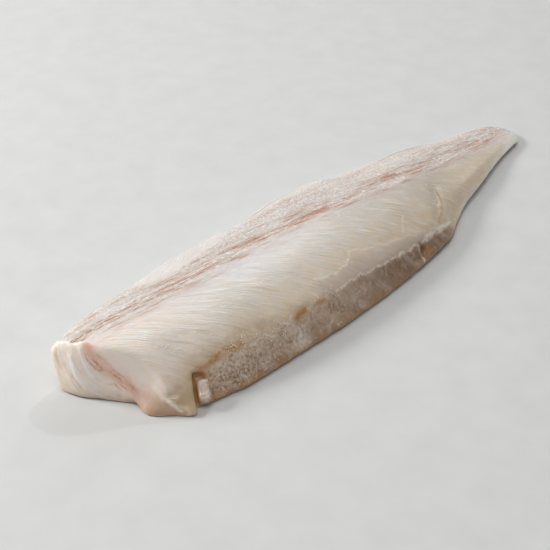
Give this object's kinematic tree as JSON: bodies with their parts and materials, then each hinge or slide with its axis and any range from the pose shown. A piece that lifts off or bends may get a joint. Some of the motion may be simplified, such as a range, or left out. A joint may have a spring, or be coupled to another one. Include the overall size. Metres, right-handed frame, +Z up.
{
  "type": "skinless hake fillet",
  "caption": "Long tapered white fish fillet without skin, thick at the slanted head cut and thin at the tail, with flaked flesh, a lateral line and a torn belly edge.",
  "frame": {"origin": "centre of the box on the plane that the fillet lies on", "axes": "+X from the head cut to the tail, +Y towards the back edge, +Z up, away from the side that the skin came off"},
  "size_m": [0.338, 0.0856, 0.0312],
  "materials": {
    "flesh": "wet, soft, slightly translucent raw fish flesh: creamy white, red-brown along the lateral line, grey-brown on the belly band"
  },
  "bodies": {
    "root": {"fillet": "flesh"}
  },
  "joints": []
}
